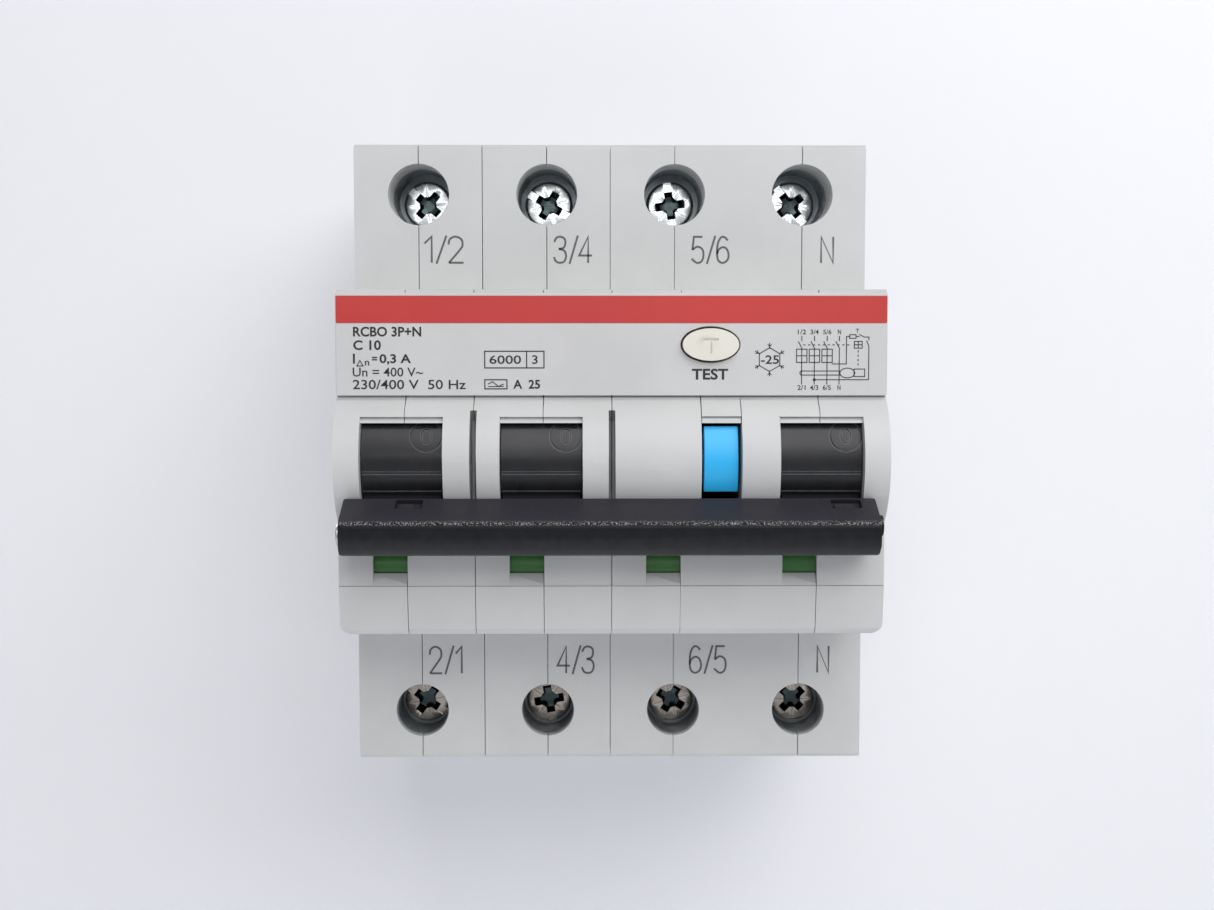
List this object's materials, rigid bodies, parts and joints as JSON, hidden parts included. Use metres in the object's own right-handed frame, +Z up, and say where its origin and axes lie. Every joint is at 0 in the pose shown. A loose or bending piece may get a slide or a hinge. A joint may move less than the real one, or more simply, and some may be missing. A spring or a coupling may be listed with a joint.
{
  "type": "residual current circuit-breaker",
  "caption": "Modular residual current circuit-breaker for a 35 mm rail: clamshell housing, linked black toggles, oval test button, fault flag, contact-position windows and screw terminals.",
  "frame": {"origin": "on the front face of the 35 mm rail, at the rail's centre line and the middle of the device's width", "axes": "+X to the device's right seen from the front, +Z up as installed, the front faces -Y and the rail lies towards +Y"},
  "size_m": [0.07, 0.0745, 0.0876],
  "materials": {
    "housing_grey": "fine moulded texture",
    "label_print": "satin printed plate",
    "button_cream": "smooth",
    "toggle_black": "satin moulded",
    "bar_black": "spark-eroded texture",
    "flag_blue": "smooth",
    "indicator_green": "printed drum",
    "bright_steel": "ground",
    "spring_steel": "drawn wire",
    "zinc_plated": "zinc plated",
    "sleeve_steel": "dark plated, threaded",
    "copper": "bare copper",
    "tinned_plate": "plated strip",
    "chute_steel": "coated steel",
    "dark_plastic": "moulded",
    "ferrite": "wound strip core",
    "resistor_body": "lacquered"
  },
  "bodies": {
    "housing": {"case_1_left": "housing_grey", "case_1_right": "housing_grey", "case_2_left": "housing_grey", "case_2_right": "housing_grey", "case_3_left": "housing_grey", "case_34_middle": "housing_grey", "case_4_right": "housing_grey", "label_plate": "label_print", "test_button_spring": "spring_steel", "test_contact_leaf": "copper", "toggle_axles": "bright_steel", "fixed_contacts": "copper", "arc_chutes": "chute_steel", "trip_coils": "copper", "bimetal_strips": "tinned_plate", "toroid_core": "ferrite", "toroid_winding": "copper", "trip_relay": "housing_grey", "test_resistor": "resistor_body", "clamp_plates_top": "tinned_plate", "clamp_plates_bottom": "tinned_plate", "screw_sleeves_top": "sleeve_steel", "screw_sleeves_bottom": "sleeve_steel", "rail_clip_spring_left": "spring_steel", "rail_clip_spring_right": "spring_steel", "case_rivets": "bright_steel"},
    "handle": {"toggle_1": "toggle_black", "toggle_2": "toggle_black", "toggle_4": "toggle_black", "tie_bar": "bar_black", "tie_bar_pin": "bright_steel"},
    "flag": {"fault_flag": "flag_blue"},
    "button": {"test_button": "button_cream"},
    "contacts": {"moving_contacts": "copper", "contact_carriers": "dark_plastic", "contact_shaft": "bright_steel", "contact_springs": "spring_steel"},
    "indicators": {"position_indicators": "indicator_green", "indicator_shaft": "bright_steel"},
    "trip_shaft": {"trip_bar": "dark_plastic"},
    "plungers": {"coil_plungers": "bright_steel"},
    "relay_pin": {"relay_plunger": "bright_steel"},
    "clip_left": {"rail_clip_left": "housing_grey"},
    "clip_right": {"rail_clip_right": "housing_grey"},
    "screw_top_1": {"screw_top_1": "zinc_plated"},
    "cage_top_1": {"cage_top_1": "zinc_plated"},
    "screw_top_2": {"screw_top_2": "zinc_plated"},
    "cage_top_2": {"cage_top_2": "zinc_plated"},
    "screw_top_3": {"screw_top_3": "zinc_plated"},
    "cage_top_3": {"cage_top_3": "zinc_plated"},
    "screw_top_4": {"screw_top_4": "zinc_plated"},
    "cage_top_4": {"cage_top_4": "zinc_plated"},
    "screw_bottom_1": {"screw_bottom_1": "zinc_plated"},
    "cage_bottom_1": {"cage_bottom_1": "zinc_plated"},
    "screw_bottom_2": {"screw_bottom_2": "zinc_plated"},
    "cage_bottom_2": {"cage_bottom_2": "zinc_plated"},
    "screw_bottom_3": {"screw_bottom_3": "zinc_plated"},
    "cage_bottom_3": {"cage_bottom_3": "zinc_plated"},
    "screw_bottom_4": {"screw_bottom_4": "zinc_plated"},
    "cage_bottom_4": {"cage_bottom_4": "zinc_plated"}
  },
  "joints": [
    {"name": "handle_turn", "type": "hinge", "parent": "housing", "child": "handle", "pos_m": [0, -0.0543, 0.0004], "axis": [-1, 0, 0], "range_deg": [0, 60]},
    {"name": "contacts_turn", "type": "hinge", "parent": "housing", "child": "contacts", "pos_m": [0, -0.034, 0.002], "axis": [-1, 0, 0], "range_deg": [0, 12.1]},
    {"name": "indicators_turn", "type": "hinge", "parent": "housing", "child": "indicators", "pos_m": [0, -0.0552, -0.0134], "axis": [-1, 0, 0], "range_deg": [0, 90.5]},
    {"name": "flag_turn", "type": "hinge", "parent": "housing", "child": "flag", "pos_m": [0, -0.0543, 0.0004], "axis": [-1, 0, 0], "range_deg": [0, 55]},
    {"name": "test_press", "type": "slide", "parent": "housing", "child": "button", "axis": [0, 1, 0], "range_m": [0, 0.0018], "stiffness_N_per_m": 900, "deforming": ["test_button_spring"]},
    {"name": "trip_shaft_turn", "type": "hinge", "parent": "housing", "child": "trip_shaft", "pos_m": [0, -0.041, -0.0034], "axis": [-1, 0, 0], "range_deg": [0, 10], "stiffness_Nm_per_rad": 0.02},
    {"name": "plungers_fall", "type": "slide", "parent": "housing", "child": "plungers", "axis": [0, 0, -1], "range_m": [0, 0.0015], "stiffness_N_per_m": 600},
    {"name": "relay_pin_out", "type": "slide", "parent": "housing", "child": "relay_pin", "axis": [0, -1, 0], "range_m": [0, 0.0012]},
    {"name": "clip_left_pull", "type": "slide", "parent": "housing", "child": "clip_left", "axis": [0, 0, -1], "range_m": [0, 0.003], "stiffness_N_per_m": 1500, "deforming": ["rail_clip_spring_left"]},
    {"name": "clip_right_pull", "type": "slide", "parent": "housing", "child": "clip_right", "axis": [0, 0, -1], "range_m": [0, 0.003], "stiffness_N_per_m": 1500, "deforming": ["rail_clip_spring_right"]},
    {"name": "screw_top_1_turn", "type": "hinge", "parent": "housing", "child": "screw_top_1", "pos_m": [-0.0262, -0.03, 0.0354], "axis": [0, 1, 0], "range_deg": [0, 1670]},
    {"name": "cage_top_1_lift", "type": "slide", "parent": "housing", "child": "cage_top_1", "axis": [0, -1, 0], "range_m": [0, 0.0037]},
    {"name": "screw_top_2_turn", "type": "hinge", "parent": "housing", "child": "screw_top_2", "pos_m": [-0.0087, -0.03, 0.0354], "axis": [0, 1, 0], "range_deg": [0, 1670]},
    {"name": "cage_top_2_lift", "type": "slide", "parent": "housing", "child": "cage_top_2", "axis": [0, -1, 0], "range_m": [0, 0.0037]},
    {"name": "screw_top_3_turn", "type": "hinge", "parent": "housing", "child": "screw_top_3", "pos_m": [0.0088, -0.03, 0.0354], "axis": [0, 1, 0], "range_deg": [0, 1670]},
    {"name": "cage_top_3_lift", "type": "slide", "parent": "housing", "child": "cage_top_3", "axis": [0, -1, 0], "range_m": [0, 0.0037]},
    {"name": "screw_top_4_turn", "type": "hinge", "parent": "housing", "child": "screw_top_4", "pos_m": [0.0263, -0.03, 0.0354], "axis": [0, 1, 0], "range_deg": [0, 1670]},
    {"name": "cage_top_4_lift", "type": "slide", "parent": "housing", "child": "cage_top_4", "axis": [0, -1, 0], "range_m": [0, 0.0037]},
    {"name": "screw_bottom_1_turn", "type": "hinge", "parent": "housing", "child": "screw_bottom_1", "pos_m": [-0.0262, -0.03, -0.0357], "axis": [0, 1, 0], "range_deg": [0, 2705]},
    {"name": "cage_bottom_1_lift", "type": "slide", "parent": "housing", "child": "cage_bottom_1", "axis": [0, -1, 0], "range_m": [0, 0.006]},
    {"name": "screw_bottom_2_turn", "type": "hinge", "parent": "housing", "child": "screw_bottom_2", "pos_m": [-0.0087, -0.03, -0.0357], "axis": [0, 1, 0], "range_deg": [0, 2705]},
    {"name": "cage_bottom_2_lift", "type": "slide", "parent": "housing", "child": "cage_bottom_2", "axis": [0, -1, 0], "range_m": [0, 0.006]},
    {"name": "screw_bottom_3_turn", "type": "hinge", "parent": "housing", "child": "screw_bottom_3", "pos_m": [0.0088, -0.03, -0.0357], "axis": [0, 1, 0], "range_deg": [0, 2705]},
    {"name": "cage_bottom_3_lift", "type": "slide", "parent": "housing", "child": "cage_bottom_3", "axis": [0, -1, 0], "range_m": [0, 0.006]},
    {"name": "screw_bottom_4_turn", "type": "hinge", "parent": "housing", "child": "screw_bottom_4", "pos_m": [0.0263, -0.03, -0.0357], "axis": [0, 1, 0], "range_deg": [0, 2705]},
    {"name": "cage_bottom_4_lift", "type": "slide", "parent": "housing", "child": "cage_bottom_4", "axis": [0, -1, 0], "range_m": [0, 0.006]}
  ],
  "couplings": [
    {"joint": "contacts_turn", "follows": "handle_turn", "ratio": 0.2},
    {"joint": "indicators_turn", "follows": "handle_turn", "ratio": 1.5},
    {"joint": "screw_top_1_turn", "follows": "cage_top_1_lift", "rad_per_m": 7854},
    {"joint": "screw_top_2_turn", "follows": "cage_top_2_lift", "rad_per_m": 7854},
    {"joint": "screw_top_3_turn", "follows": "cage_top_3_lift", "rad_per_m": 7854},
    {"joint": "screw_top_4_turn", "follows": "cage_top_4_lift", "rad_per_m": 7854},
    {"joint": "screw_bottom_1_turn", "follows": "cage_bottom_1_lift", "rad_per_m": 7854},
    {"joint": "screw_bottom_2_turn", "follows": "cage_bottom_2_lift", "rad_per_m": 7854},
    {"joint": "screw_bottom_3_turn", "follows": "cage_bottom_3_lift", "rad_per_m": 7854},
    {"joint": "screw_bottom_4_turn", "follows": "cage_bottom_4_lift", "rad_per_m": 7854}
  ]
}
